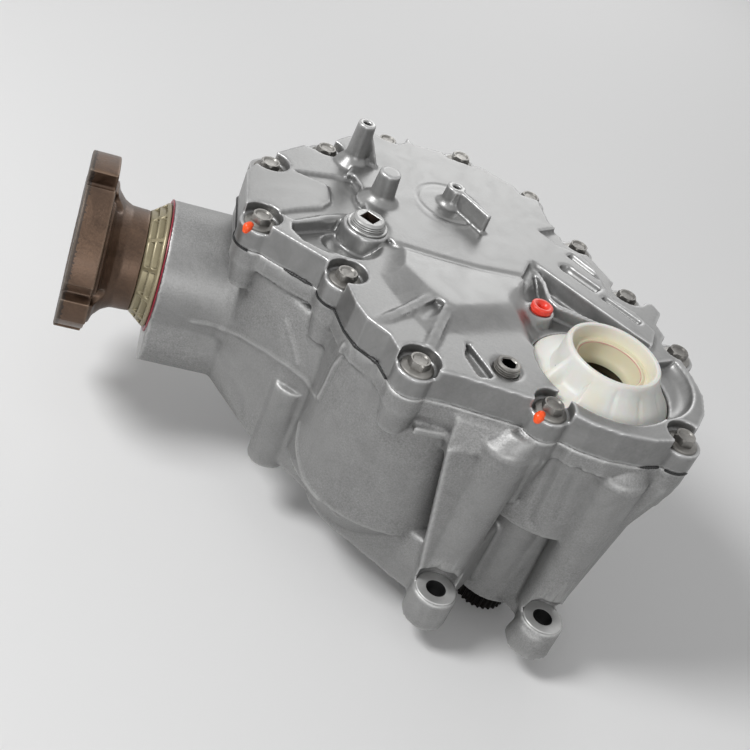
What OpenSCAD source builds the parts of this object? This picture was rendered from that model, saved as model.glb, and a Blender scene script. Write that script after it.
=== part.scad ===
// Power transfer unit of an all-wheel-drive car.
// Origin: on the input axis, in the plane of the transaxle lugs' faces.
// +Z: along the input shaft, towards the cover. -X: towards the output flange.

/* [Case] */
// Height of the joint between case and cover above the lug faces
joint_z = 152; // [150:1:160]
// Thickness of the case's joint flange
flange_t = 12; // [9:1:16]
// Radius of the bell round the ring gear, at the joint
bell_r = 98; // [94:1:102]
// Wall of the bell
bell_wall = 12; // [9:1:14]
// Outer radius of the housing round the idler
idler_house_r = 63; // [61:1:66]
// Depth of the idler housing's lower edge below the joint
idler_house_depth = 108; // [104:1:114]
// Outer radius of the barrel round the input gear
barrel_r = 48; // [47:0.5:52]
// Depth of the barrel's lower edge below the joint
barrel_depth = 70; // [60:1:80]
// Outer radius of the input neck
neck_r = 28; // [27.5:0.5:32]
// Height of the neck's end above the lug faces
neck_z = 2; // [0:0.5:8]
// Outer radius of the output snout
snout_r = 42; // [41:0.5:46]

/* [Lugs] */
// Radius of the bolt holes to the transaxle
lug_hole_r = 6.75; // [5:0.25:8]
// Outer radius of a lug
lug_r = 14.2; // [13:0.1:16]
// Height of the spot faces above the lug faces, on average
lug_t = 21; // [18:0.5:24]

/* [Cover] */
// Height of the cover's rim above the joint
rim_h = 21; // [19:0.5:24]
// Height of the main face above the joint
face_h = 24.5; // [23:0.5:28]
// Height of the bolt seats above the joint
seat_h = 13.5; // [12:0.5:15]
// Height of the cover's inner ceiling above the joint
roof_h = 6; // [4:0.5:8]
// Radius of the cover's hollow round the ring gear
roof_r = 83; // [78:0.5:86]
// Radius of the recess round the half shaft
recess_r = 43.2; // [41:0.1:45]
// Height of that recess's floor above the joint
recess_h = 9.5; // [9.5:0.5:12]

/* [Fasteners] */
// Radius of the cover bolts' thread
bolt_r = 4; // [3:0.5:4.5]
// Radius of the cover bolts' washer flange
bolt_flange_r = 9.5; // [8:0.1:10.5]
// Width across flats of the cover bolts
bolt_af = 10; // [8:1:12]
// Height of the hexagon of the cover bolts
bolt_head_h = 6.5; // [5:0.5:8]
// Depth that the cover bolts reach below the joint
bolt_reach = 24; // [18:1:30]
// Radius of the notch milled round each cover bolt
notch_r = 11.8; // [11:0.1:13]
// Thread radius of the fill plug
fill_r = 9; // [8:0.5:10]
// Thread radius of the drain plug
drain_r = 7.5; // [6:0.5:8.5]

/* [Gears] */
// Module of the spur train
m_spur = 2; // [2]
// Teeth of the input gear
z_input = 40; // [40]
// Teeth of the idler gear
z_idler = 52; // [52]
// Teeth of the driven gear
z_driven = 34; // [34]
// Face width of the spur train
face_w = 20; // [14:1:20]
// Module of the bevel pair at its outer end
m_bevel = 3.5; // [3.5]
// Teeth of the bevel ring gear
z_ring = 37; // [37]
// Teeth of the bevel pinion
z_pinion = 13; // [13]
// Face width of the bevel pair
bevel_w = 20; // [14:1:22]
// Distance between input axis and ring gear axis
axis_gap = 147; // [146:0.5:148]
// Direction from the input axis to the ring gear axis
axis_dir = 126.7; // [126.7]

/* [Shafts] */
// Radius of the hollow bore through the input shaft
hollow_r = 14.5; // [13:0.25:15]
// Radius of the input shaft's journals
input_r = 18; // [17.5:0.25:18.5]
// Tip radius of the input shaft's outer spline
spline_r = 17.5; // [16.5:0.25:17.5]
// How far the spline's end stands below the lug faces
spline_drop = 17; // [8:0.5:22]
// Radius of the idler shaft's journals
idler_r = 15; // [14:0.5:15.5]
// Radius of the ring gear shaft's journals
ring_r = 17.5; // [16:0.5:18]
// Radius of the pinion shaft's journals
pinion_r = 15; // [14:0.5:15.5]

/* [Output] */
// Radius of the output flange over its widest lobe
ear_tip_r = 59.5; // [58:0.5:62]
// Radius of the output flange between its lobes
web_r = 49.5; // [48.5:0.5:52]
// Thickness of the output flange
disc_t = 17.5; // [14:0.5:19]
// Pitch circle diameter of the output flange's bolt holes
output_pcd = 82; // [80:0.5:84]
// Radius of the output flange's bolt holes
output_hole_r = 5.2; // [4:0.1:6]
// Radius of the output flange's hub
hub_r = 32; // [30:0.5:33]
// Distance from the input axis to the snout's end face
snout_x = 246; // [244:0.5:250]
// Distance from the snout's end face to the flange's mounting face
output_h = 54.5; // [52:0.5:58]

/* [Hidden] */
$fn = 96;

// Small distances
eps = 0.02;
fit_gap = 0.05;
seat_gap = 0.3;
air_gap = 1.5;
end_gap = 1.5;
seal_r = 24.5;
plug_top = 34.5;

// Axes of the gear train, worked out from the teeth
r_input = m_spur * z_input / 2;
r_idler = m_spur * z_idler / 2;
r_driven = m_spur * z_driven / 2;
gap_1 = r_input + r_idler;
gap_2 = r_idler + r_driven;
idler_turn = acos((gap_1 * gap_1 + axis_gap * axis_gap - gap_2 * gap_2) / (2 * gap_1 * axis_gap));
idler_dir = axis_dir + idler_turn;
idler_at = gap_1 * [cos(idler_dir), sin(idler_dir)];
ring_at = axis_gap * [cos(axis_dir), sin(axis_dir)];
ring_dir = atan2(ring_at.y - idler_at.y, ring_at.x - idler_at.x);

// Heights in the gear train
gear_top = joint_z - 5;
gear_low = gear_top - face_w;
r_ring = m_bevel * z_ring / 2;
r_pinion = m_bevel * z_pinion / 2;
ring_back = gear_low - air_gap - 1;
bevel_body = 11;
ring_web = 6;
web_low = ring_back - ring_web;
flange_h = 6.5;
ring_bolts = 8;
ring_bolt_r = 4;
ring_bolt_pcd = 66;
pinion_z = ring_back - bevel_body - r_pinion;
cone_len = sqrt(r_ring * r_ring + r_pinion * r_pinion);
toe_scale = 1 - bevel_w / cone_len;

// Bearings, as [shaft radius, cup radius, width]
input_low_brg = [input_r, 25, 16];
input_top_brg = [input_r, 30, 11];
idler_brg = [idler_r, 28, 16];
ring_brg = [ring_r, 32, 17];
head_brg = [pinion_r + 3, 36, 20];
tail_brg = [pinion_r, 32, 17];
input_low_z = neck_z + 12;
input_top_z = joint_z - 4.5;
idler_low_z = joint_z - 112;
idler_top_z = joint_z - 4;
ring_low_z = joint_z - 118;
ring_top_z = joint_z;
head_x = -165;
tail_x = -(snout_x - 12);
head_end = -head_x + head_brg[2];
// Output flange: its mounting face, where the hub ends, its seal journal and the nut's recess
output_x = snout_x + output_h;
hub_end = snout_x + 12.5;
journal_r = 26;
nut_recess = 20;
hole_turn = -8;
shield_r = 39.5;
// Lobes of the output flange, as [from, to, radius]
lobes = [[-6, 47, ear_tip_r], [-80, -16, ear_tip_r - 3], [-107, -90, ear_tip_r - 1.5],
    [168, 190, ear_tip_r - 1.5], [72, 94, ear_tip_r - 0.5], [104, 150, ear_tip_r - 3]];

// Cover bolts, in order round the joint from the output side
bolts = [[-201.4, 74.6], [-151.8, 37.9], [-114.4, -27.6], [-38.4, -38.9], [41.9, -39.7], [60.9, 43.3],
    [37.6, 91.8], [13, 137.6], [-13.4, 186.6], [-60.4, 216.1], [-114.9, 209.9], [-158.9, 175],
    [-196.6, 137.6]];
// How far the centre of a bolt's lobe stands behind the bolt
lobe_shift = [0.3, 1.6];
// Line behind which the cover's back steps down to the bolt seats
back = [[-118, 240], [-113, 214], [-110, 208.5], [-102, 211], [-99, 203.5], [-78, 205],
    [-74, 199], [-58, 196.5],
    [-52, 200], [-28, 184.5], [-24, 176], [-12, 174.5], [-8.5, 148], [-1, 139.5], [1, 131],
    [30, 150], [30, 240]];
// Corners of the cover's rim between its round stretches
rim = [[-212, 82], [-212, 118], [-207, 128], [-193, 150], [-175, 168.5], [-168, 167], [-156, 183],
    [-145, 196], [-126, 209], [-107, 219], [-99, 221.5], [-97, 214], [-88, 215], [-72, 213.5],
    [-59, 217], [-47, 206],
    [-26, 192], [-15, 188], [-9, 180], [-11, 173], [-5, 156], [4, 142], [17, 124], [28, 101], [43, 86],
    [53, 87], [57, 78], [50, 64], [54, 48], [62, 17], [64, 0], [60, -17], [49, -36], [36, -47], [20, -52],
    [0, -53], [-18, -50],
    [-27, -46], [-51, -40], [-93, -35], [-112, -35], [-126, -27], [-131, -13], [-143, -3], [-149, 9],
    [-154, 28], [-165, 44], [-194, 61], [-207, 70]];
// Lugs to the transaxle: two in front, two behind, each with its spot face above or below lug_t
lugs = [[20.6, -49.7, -1.5, 5], [-50.3, -45.5, 1.5, 13], [50, 36, 0, 8], [-34, 62, 0, 8]];
dowels = [[-178, 62], [28, 112]];
// Keel under the snout: its place as [y, z], its radius and where it ends
keel_at = [ring_at.y - 18, pinion_z - 32];
keel_r = 24;
keel_x = -200;
// Main face of the cover, inside the rim
main_face = [[-130, 240], [-141, 178], [-138, 164], [-146, 148], [-152, 134], [-146, 131], [-142, 118],
    [-141, 106], [-122, 73], [-110, 68.5], [-95, 66], [-76, 67], [-57, 69.5], [-41, 72], [-32, 93], [-5, 71],
    [22, 47], [38, 34], [44, 50], [34, 66], [22, 74], [18, 87], [17, 97], [13, 110], [8, 118], [-7, 122],
    [-19, 134], [8, 152], [20, 240]];
// Groove that parts the left plateau from the main face and from the pocket at the fill boss
groove = [[-184, 133], [-157, 140], [-144, 141], [-140, 131], [-138, 100], [-150, 98], [-165, 90],
    [-183, 76], [-193, 81], [-182, 89], [-165, 99], [-160, 107], [-160, 118], [-161, 126]];
groove_h = 2;
// Dome over the idler: its top edge as [x, y, height over the rim], and its foot
dome_top = [[-122, 72, 3.2], [-123, 63, 3.9], [-115, 50, 4.8], [-104, 33, 5.7], [-94, 23, 6.2],
    [-74, 21, 6.3], [-58, 34, 5.6], [-46, 58, 4.2], [-42, 71, 3]];
dome_foot = [[-136, 66], [-130, 36], [-117, 10], [-101, -14], [-86, -4], [-61, 9], [-50, 22]];
// Valley round the vent: its upper edge and its floor
valley_edge = [[-31, 96], [-5, 71], [22, 47], [38, 34], [20, 0], [-40, 0], [-47, 3], [-50.5, 10], [-53, 42],
    [-44, 64]];
valley_floor = [[-22, 82], [-7, 70], [20, 46], [35, 33], [20, 0], [-28, 4], [-35, 14], [-28, 34], [-23, 55]];
// Ridge that parts the valley's narrow arm from the vent
vent_ridge = [[-32.5, 97], [-26, 77], [-25, 60.5], [-20.5, 53.5], [-5, 48.3], [11, 44], [11, 47], [-4, 51.6],
    [-18, 56.8], [-21.8, 61.5], [-22.6, 77], [-28.5, 98]];
valley_h = 13;
fill_at = [-139, 85];
drain_at = [-64, -19];
vent_at = [-32, 46.5];
fill_h = 24;
vent_h = 22;
// Cast bosses on the cover, as [x, y, base radius, top radius, height, depth of the tapped hole, flare]
bosses = [[-143, 161.5, 7.4, 5.7, 51, 20, 10], [-128.5, 119.5, 8.6, 6.7, 44.5, 0, 13],
    [-80.5, 137, 7.4, 6, 37.5, 18, 9.5]];
// Round cast mark on the main face, left bare: its centre, radius and height
mark = [-84, 129, 19.7, 0.25];

// Outline of the joint, with a round lobe at each bolt
module joint_plan(lobe = 12.3) {
    polygon(rim);
    for (p = bolts) translate(p + lobe_shift) circle(r = lobe, $fn = 48);
}

// Tooth flank of an involute: half its angle at radius r
function inv(a) = tan(a) * 180 / PI - a;
function half_angle(r, pitch, base, half) = half + inv(acos(base / pitch)) - inv(acos(min(1, base / r)));

// Half the tooth angle on the pitch circle, less the play
function pitch_half(z, r, play) = 90 / z - play / (4 * r) * 180 / PI;

// Outline of one spur gear, a tooth on the +X axis
function spur_points(z, m, play = 0.3) = let (
    r = m * z / 2,
    base = r * cos(20),
    radii = [r - 1.2 * m, r - 0.5 * m, r, r + 0.5 * m, r + 0.95 * m],
    half = [for (q = radii) half_angle(max(q, base + eps), r, base, pitch_half(z, r, play))],
    last = len(radii) - 1
) [for (t = [0 : z - 1], k = [-last - 1 : last])
    let (i = k < 0 ? last + 1 + k : last - k, side = k < 0 ? -1 : 1, a = t * 360 / z + side * half[i])
    radii[i] * [cos(a), sin(a)]];

// Spur gear with a flat-sided bore and a lightened web
module spur_gear(z, bore, w, web) {
    difference() {
        linear_extrude(w) polygon(spur_points(z, m_spur));
        translate([0, 0, -1]) cylinder(r = bore, h = w + 2, $fn = 12);
        for (side = [0, 1]) translate([0, 0, side * (w - web) - eps]) linear_extrude(web + 2 * eps)
            difference() {
                rotate(7.5) polygon([for (a = [0 : 15 : 345]) (m_spur * z / 2 - 6) * [cos(a), sin(a)]]);
                polygon([for (a = [0 : 15 : 345]) (bore + 6) * [cos(a), sin(a)]]);
            }
    }
}

// Point of a bevel tooth: rho on the developed back cone, turned by a
function bevel_point(rho, a, cone, pitch_angle, s) =
    s * [rho * cos(pitch_angle) * cos(a), rho * cos(pitch_angle) * sin(a),
        cone / cos(pitch_angle) - rho * sin(pitch_angle)];

// One ring of bevel teeth at scale s, a tooth on the +X axis
function bevel_ring(z, m, cone, add, ded, shift, s, play = 0.4) = let (
    r = m * z / 2,
    pitch_angle = asin(r / cone),
    flat_r = r / cos(pitch_angle),
    flat_z = z / cos(pitch_angle),
    base = flat_r * cos(20),
    half = pitch_half(flat_z, flat_r, play) + 2 * shift * tan(20) / flat_z * 180 / PI,
    radii = [flat_r - ded * m, flat_r - 0.4 * ded * m, flat_r, flat_r + add * m]
) [for (t = [0 : z - 1], k = [-4 : 3])
    let (i = k < 0 ? 4 + k : 3 - k, side = k < 0 ? -1 : 1, rho = radii[i],
        a = t * 360 / z + side * half_angle(max(rho, base + eps), flat_r, base, half) / cos(pitch_angle))
    bevel_point(rho, a, cone, pitch_angle, s)];

function flat_ring(r, h, n) = [for (i = [0 : n - 1])
    let (a = (i - 3.5) * 360 / n) [r * cos(a), r * sin(a), h]];

// Closed band of rings, each with as many points
module band(rings) {
    n = len(rings[0]);
    c = len(rings);
    polyhedron(points = [for (ring = rings) each ring],
        faces = [for (j = [0 : c - 1], i = [0 : n - 1], half = [0, 1])
            let (k = (i + 1) % n, up = ((j + 1) % c) * n)
            half == 0 ? [j * n + i, j * n + k, up + k] : [j * n + i, up + k, up + i]]);
}

// Share of a bearing's radial room that each wall and the taper take
function brg_wall(brg) = (brg[1] - brg[0]) * 0.2;
// Length of a cup, less than its cone
function cup_len(brg) = brg[2] * 0.85;

// Tapered bearing, its large end up: outer cup
module cup(brg) {
    wall = brg_wall(brg);
    high = cup_len(brg);
    turned([[brg[1] - 2 * wall, 0], [brg[1], 0], [brg[1], high], [brg[1] - wall, high]]);
}

// Tapered bearing: inner cone with its rollers
module cone_and_rollers(brg, count = 14) {
    wall = brg_wall(brg);
    slope = atan(wall / cup_len(brg));
    roller = wall * 1.08;
    path_r = brg[1] - 2 * wall - roller - 0.25;
    rotate_extrude() polygon([[brg[0] + fit_gap, 0], [brg[0] + wall, 0], [brg[0] + 2 * wall, brg[2]],
        [brg[0] + fit_gap, brg[2]]]);
    for (i = [0 : count - 1]) rotate(i * 360 / count) translate([path_r, 0, 1.2])
        rotate([0, slope, 0]) cylinder(r1 = roller, r2 = roller * 1.06, h = brg[2] * 0.78, $fn = 24);
}

// Ring turned about Z, from a list of [radius, height] corners
module turned(corners) {
    rotate_extrude() polygon(corners);
}

module tube(r_out, r_in, h) {
    difference() {
        cylinder(r = r_out, h = h);
        translate([0, 0, -1]) cylinder(r = r_in, h = h + 2);
    }
}

// Turns a shape that stands on +Z to point at the output, from x
module to_output(x) {
    translate([x, ring_at.y, pinion_z]) rotate([0, -90, 0]) children();
}

module at_ring(z) {
    translate([ring_at.x, ring_at.y, z]) children();
}

module at_idler(z) {
    translate([idler_at.x, idler_at.y, z]) children();
}

// Case, outside
module case_outside() {
    translate([0, 0, joint_z - flange_t]) linear_extrude(flange_t) joint_plan();
    // bell of the ring gear
    at_ring(joint_z) turned([[0, -124], [36, -124], [41, -108], [bell_r - 34, -108], [bell_r - 6, -60],
        [bell_r, -flange_t + 1], [0, -flange_t + 1]]);
    // housing of the idler
    at_idler(joint_z - idler_house_depth)
        cylinder(r = idler_house_r, h = idler_house_depth - flange_t + eps);
    at_idler(joint_z - idler_house_depth - 30) cylinder(r1 = 40, r2 = idler_house_r - 4, h = 30 + eps);
    // barrel and neck of the input
    translate([0, 0, joint_z - barrel_depth]) cylinder(r = barrel_r, h = barrel_depth - eps);
    translate([0, 0, neck_z]) cylinder(r = neck_r, h = joint_z - barrel_depth - neck_z + eps);
    // columns down to the lugs
    for (i = [0 : 3]) translate([lugs[i].x, lugs[i].y, 0]) {
        cylinder(r = lug_r, h = lug_t + lugs[i][2]);
        translate([i == 0 ? -3 : 0, i < 2 ? 8 : -8, lug_t - 3])
            cylinder(r1 = lug_r - 2, r2 = lug_r + 2.5, h = joint_z - flange_t - lug_t + 3, $fn = 48);
    }
    // the right front lug is wider at its foot
    translate([lugs[0].x - 2.5, lugs[0].y - 3, 0]) cylinder(r1 = lug_r + 1, r2 = lug_r - 2, h = lug_t - 5);
    // blind bosses under the cover bolts
    for (p = bolts) translate([p.x, p.y, joint_z - bolt_reach - 5])
        cylinder(r1 = 8, r2 = 11, h = bolt_reach + 6 - flange_t, $fn = 48);
    webs();
    snout_outside();
}

// Webs that tie the columns, the housings and the neck together
module webs() {
    // sump from the idler housing to the front left lug
    hull() {
        at_idler(joint_z - idler_house_depth - 30) cylinder(r = 43, h = 36, $fn = 32);
        translate([-48, -36, lug_t - 12]) cylinder(r = 12, h = 40, $fn = 32);
        translate([-20, 0, neck_z + 10]) cylinder(r = 12, h = 50, $fn = 32);
    }
    // wall from the barrel to the right front lug
    hull() {
        translate([32, -30, joint_z - flange_t]) cylinder(r = 18, h = 1, $fn = 32);
        translate([20, -40, 7]) cylinder(r = 9, h = 1, $fn = 32);
        translate([2, -18, 9]) cylinder(r = 9, h = 1, $fn = 32);
    }
    // wall from the barrel to the ring gear bell, behind
    hull() {
        at_ring(joint_z - 80) cylinder(r = 50, h = 80 - flange_t, $fn = 32);
        translate([22, 60, joint_z - 50]) cylinder(r = 22, h = 50 - flange_t, $fn = 32);
        translate([20, 12, joint_z - 60]) cylinder(r = 30, h = 60 - flange_t, $fn = 32);
    }
    // foot that closes the neck towards the rear lugs
    hull() {
        translate([0, 0, neck_z + 8]) cylinder(r = 20, h = 60, $fn = 32);
        translate([44, 28, lug_t - 10]) cylinder(r = 9, h = 60, $fn = 32);
        translate([-30, 52, lug_t - 10]) cylinder(r = 9, h = 60, $fn = 32);
    }
    // front wall from the snout's keel to the idler housing
    hull() {
        translate([keel_x, keel_at.x, keel_at.y]) rotate([0, 90, 0]) cylinder(r = keel_r, h = 2, $fn = 32);
        translate([-178, 78, joint_z - flange_t - 8]) cylinder(r = 20, h = 8, $fn = 32);
        translate([-154, 56, joint_z - 118]) cylinder(r = 21, h = 66, $fn = 32);
        at_idler(joint_z - 137) cylinder(r = 36, h = 103, $fn = 32);
    }
    // ledge beside the third cover bolt, and the wing of the left front lug's column below it
    translate([-104, -37, joint_z - 24]) cube([20, 24, 5]);
    translate([0, -38, 0]) rotate([90, 0, 0]) linear_extrude(6)
        polygon([[-84, joint_z - 24], [-50, joint_z - 14], [-50, lug_t + 2], [-63, lug_t + 2]]);
    // boss on the bell's lower front
    translate([-156, 42, joint_z - 131]) cylinder(r1 = 12.3, r2 = 13, h = 63, $fn = 48);
}

module snout_outside() {
    to_output(-150) cylinder(r = snout_r, h = snout_x - 150);
    // flare from the snout into the bell
    hull() {
        to_output(-206) cylinder(r = snout_r - 0.7, h = 2, $fn = 48);
        to_output(-140) cylinder(r = snout_r + 14, h = 4, $fn = 48);
        at_ring(pinion_z - 40) cylinder(r = bell_r - 26, h = 70, $fn = 48);
    }
    // keel under the snout
    hull() {
        translate([-snout_x, keel_at.x, keel_at.y]) rotate([0, 90, 0])
            cylinder(r = keel_r, h = 70, $fn = 32);
        to_output(-176) cylinder(r = snout_r - 4, h = snout_x - 176, $fn = 32);
    }
}

// Case, hollows and bores
module case_hollows() {
    bell_hollow = bell_r - bell_wall;
    at_ring(joint_z) turned([[0, -100], [bell_r - 42, -100], [bell_hollow, -50], [bell_hollow, 1], [0, 1]]);
    at_ring(ring_low_z) cylinder(r = ring_brg[1] + fit_gap, h = 40);
    at_idler(joint_z - idler_house_depth + 18) cylinder(r = idler_house_r - 6, h = idler_house_depth);
    at_idler(idler_low_z) cylinder(r = idler_brg[1] + fit_gap, h = 40);
    for (q = [[ring_at, ring_brg, ring_low_z], [idler_at, idler_brg, idler_low_z]])
        translate([q[0].x, q[0].y, q[2] - end_gap])
            cylinder(r = q[1][1] - 2 * brg_wall(q[1]) - 0.5, h = end_gap + 1);
    translate([0, 0, joint_z - 62]) cylinder(r = barrel_r - 4, h = 63);
    translate([0, 0, input_low_z]) cylinder(r = input_low_brg[1] + fit_gap, h = 80);
    translate([0, 0, -1]) cylinder(r = 22, h = joint_z);
    translate([0, 0, neck_z - 1]) cylinder(r = seal_r + fit_gap, h = 9);
    for (p = lugs) translate([p.x, p.y, -1]) cylinder(r = lug_hole_r, h = lug_t + 8);
    // spot faces of the lugs
    for (p = lugs) translate([p.x, p.y, lug_t + p[2]]) cylinder(r = lug_r - 0.5, h = p[3]);
    // output bores
    to_output(head_x + 30) cylinder(r = 30, h = 100);
    to_output(-110) cylinder(r = head_brg[1] + fit_gap, h = -110 - head_x + head_brg[2]);
    to_output(tail_x + tail_brg[2]) cylinder(r = tail_brg[1] + fit_gap, h = 30);
    to_output(-snout_x + 8) cylinder(r = 38 + fit_gap, h = 9);
    for (p = bolts) translate([p.x, p.y, joint_z - bolt_reach - 2])
        cylinder(r = bolt_r + fit_gap, h = bolt_reach + 3);
    for (p = dowels) translate([p.x, p.y, joint_z - 8]) cylinder(r = 4 + fit_gap, h = 9);
}

module case() color("silver") {
    difference() {
        case_outside();
        case_hollows();
    }
}

// Two blades that run down from the dome to the rim, each from [x, y, height over the rim] to [x, y, height]
blades = [[[-103, 28, 5.2], [-134.5, -2, 0.2]], [[-95, 20, 5.6], [-109.3, -18, 0.2]]];

module dome() {
    hull() {
        for (p = dome_top) translate([p.x, p.y, 0]) cylinder(r = 2.5, h = rim_h + p.z, $fn = 24);
        for (p = dome_foot) translate([p.x, p.y, 0]) cylinder(r = 2.5, h = rim_h - 0.6, $fn = 24);
    }
}

// Round-bottomed trough from one point to another, each given as [x, y, height of its bottom]
module trough(a, b, r) {
    run = norm([b.x - a.x, b.y - a.y]);
    translate([a.x, a.y, a.z + r]) rotate([0, 90 - atan((b.z - a.z) / run), atan2(b.y - a.y, b.x - a.x)])
        cylinder(r = r, h = norm(b - a), $fn = 64);
}

// Cover, outside
module cover_outside() {
    difference() {
        union() {
            linear_extrude(seat_h) joint_plan();
            linear_extrude(rim_h) difference() {
                polygon(rim);
                polygon(back);
            }
            linear_extrude(face_h) difference() {
                intersection() {
                    polygon(rim);
                    polygon(main_face);
                }
                polygon(back);
            }
            difference() {
                dome();
                // its flanks towards the fill boss and the front
                trough([-126, 84, rim_h], [-150, -12, rim_h - 0.5], 26);
                trough([-118, -16, rim_h - 0.5], [-40, 21, rim_h - 0.5], 30);
            }
        }
        cover_relief();
        for (p = bolts) translate([p.x, p.y, seat_h]) cylinder(r = notch_r, h = 40);
    }
    for (b = blades) intersection() {
        hull() for (p = b) translate([p.x, p.y, rim_h - 8]) cylinder(r = 3, h = 8 + p.z, $fn = 24);
        linear_extrude(60) difference() {
            polygon(rim);
            for (q = bolts) translate(q) circle(r = notch_r + 0.5);
        }
    }
    // bosses
    translate(fill_at) cylinder(r1 = 18, r2 = 14.5, h = fill_h);
    translate(vent_at) cylinder(r1 = 12, r2 = 8.5, h = vent_h);
    for (b = bosses) translate([b.x, b.y, face_h - 6]) {
        cylinder(r1 = b[2], r2 = b[3], h = b[4] - face_h + 6);
        translate([0, 0, 3]) cylinder(r1 = b[6] + 2, r2 = b[2] - 1, h = 7);
    }
    boss_ribs();
    translate([0, 0, roof_h + 2]) linear_extrude(rim_h - roof_h - 1) polygon(vent_ridge);
}

// Pockets and channels sunk into the cover's face
module cover_relief() {
    translate([0, 0, rim_h - groove_h]) linear_extrude(40) polygon(groove);
    // pocket beside the fill boss, its floor rising to the rim
    translate([-168.5, 80.5, valley_h]) rotate([0, 0, 31.8]) rotate([-15, 0, 0]) linear_extrude(30)
        polygon([[-17, 0], [-21, -6], [-20, -16], [-13, -26], [-7, -34], [1, -34], [12, -24], [22, -2],
            [22, 0]]);
    // dish in front of the fill boss
    translate([-150, 72, rim_h - 9]) cylinder(r1 = 12, r2 = 22, h = 10);
    // scoop between the blades
    trough([-101, 24, rim_h + 1], [-123, -11, rim_h + 0.4], 8);
    // valley round the vent
    hull() {
        translate([0, 0, face_h + 1]) linear_extrude(5) polygon(valley_edge);
        translate([0, 0, valley_h]) linear_extrude(1) polygon(valley_floor);
    }
    // long slot and two short ones beside the valley
    for (q = [[[-6, 96], [12, 80], 4.4, 5], [[-1, 114], [17, 95], 2.8, 3.5], [[14, 74], [35, 55], 2.6, 3.5]])
        trough([q[0].x, q[0].y, face_h - q[3]], [q[1].x, q[1].y, face_h - q[3]], q[2]);
    translate([-6, 96, face_h - 0.2]) sphere(r = 5, $fn = 48);
    // crescent channel beside the half shaft
    translate([14, 10, 0]) rotate(-66) rotate_extrude(angle = 93) {
        translate([37, rim_h + 1]) circle(r = 7.5, $fn = 64);
        translate([24, rim_h - 6.5]) square([13, 20]);
    }
    // wedge beside the drain plug
    translate([0, 0, rim_h - 5]) linear_extrude(30)
        polygon([[-85, -2], [-75, -23], [-73, -28], [-75, -31], [-82, -32], [-88, -16]]);
}

// Ribs that stiffen two of the tall bosses
module boss_ribs() {
    translate([bosses[0].x, bosses[0].y, face_h - 4]) rotate(-14) translate([2, 0, 0]) hull() {
        translate([0, -1.5, 0]) cube([5.4, 3, bosses[0][4] - face_h - 6]);
        translate([0, -1.5, 0]) cube([14, 3, 3]);
    }
    translate([bosses[2].x, bosses[2].y, face_h - 6]) rotate(-53.1) translate([0, -1.75, 0])
        cube([32, 3.5, bosses[2][4] - face_h + 5.8]);
    translate([mark[0], mark[1], 0]) cylinder(r = mark[2], h = face_h + mark[3]);
}

// Cover, hollows and bores
module cover_hollows() {
    difference() {
        union() {
            translate([ring_at.x, ring_at.y, -1]) cylinder(r = roof_r, h = roof_h + 1, $fn = 128);
            translate([idler_at.x, idler_at.y, -1]) cylinder(r = idler_house_r - 9, h = roof_h + 1);
        }
        for (q = [[ring_at, ring_brg[1] + 6], [idler_at, idler_brg[1] + 6]])
            translate([q[0].x, q[0].y, -2]) cylinder(r = q[1], h = 60);
        for (p = [fill_at, drain_at, vent_at]) translate([p.x, p.y, -2]) cylinder(r = 13, h = 60);
        translate([0, 0, -2]) cylinder(r = input_top_brg[1] + 8, h = 60);
    }
    input_depth = input_top_z - joint_z + input_top_brg[2];
    translate([0, 0, -1]) cylinder(r = input_top_brg[1] + fit_gap, h = input_depth + 1);
    translate([0, 0, -1]) cylinder(r = input_r + 4, h = 60);
    // spot faces of the plugs
    translate([fill_at.x, fill_at.y, fill_h]) cylinder(r = 15, h = 40);
    translate([vent_at.x, vent_at.y, vent_h]) cylinder(r = 8.5, h = 40);
    translate([drain_at.x, drain_at.y, rim_h - 1]) cylinder(r = 10, h = 40);
    // recess of the half shaft seal and its plug
    translate([0, 0, recess_h]) tube(recess_r, 30, 40);
    translate([0, 0, rim_h - 2]) cylinder(r = recess_r, h = 40);
    translate([0, 0, recess_h + 0.5]) cylinder(r = 26 + fit_gap, h = 40);
    for (q = [[ring_at, ring_brg, ring_top_z], [idler_at, idler_brg, idler_top_z]]) {
        depth = q[2] + q[1][2] - joint_z;
        translate([q[0].x, q[0].y, -1]) cylinder(r = q[1][1] + fit_gap, h = depth + 1);
        translate([q[0].x, q[0].y, 0]) cylinder(r = q[1][1] - 2 * brg_wall(q[1]) - 0.5, h = depth + end_gap);
    }
    for (p = bolts) translate([p.x, p.y, -1]) cylinder(r = bolt_r + 0.5, h = 40);
    for (p = dowels) translate([p.x, p.y, -1]) cylinder(r = 4 + fit_gap, h = 9);
    translate([fill_at.x, fill_at.y, -1]) cylinder(r = fill_r + fit_gap, h = 60);
    translate([drain_at.x, drain_at.y, 6]) cylinder(r = drain_r + fit_gap, h = 60);
    translate([vent_at.x, vent_at.y, 6]) cylinder(r = 5.5 + fit_gap, h = 60);
    for (b = bosses) if (b[5] > 0) translate([b.x, b.y, b[4] - b[5]]) cylinder(r = 2.6, h = b[5] + 1);
}

module cover() color("silver") translate([0, 0, joint_z]) {
    difference() {
        cover_outside();
        cover_hollows();
    }
}

// Sealant squeezed out of the joint, in the places where it shows
module joint_sealant() color("black") translate([0, 0, joint_z - 0.6]) linear_extrude(1.2) intersection() {
    difference() {
        offset(delta = 0.8) joint_plan();
        offset(delta = fit_gap) joint_plan();
    }
    union() {
        translate([-225, 60]) square([20, 70]);
        translate([-175, -25]) square([60, 66]);
        translate([36, -60]) square([20, 12]);
    }
}

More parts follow.
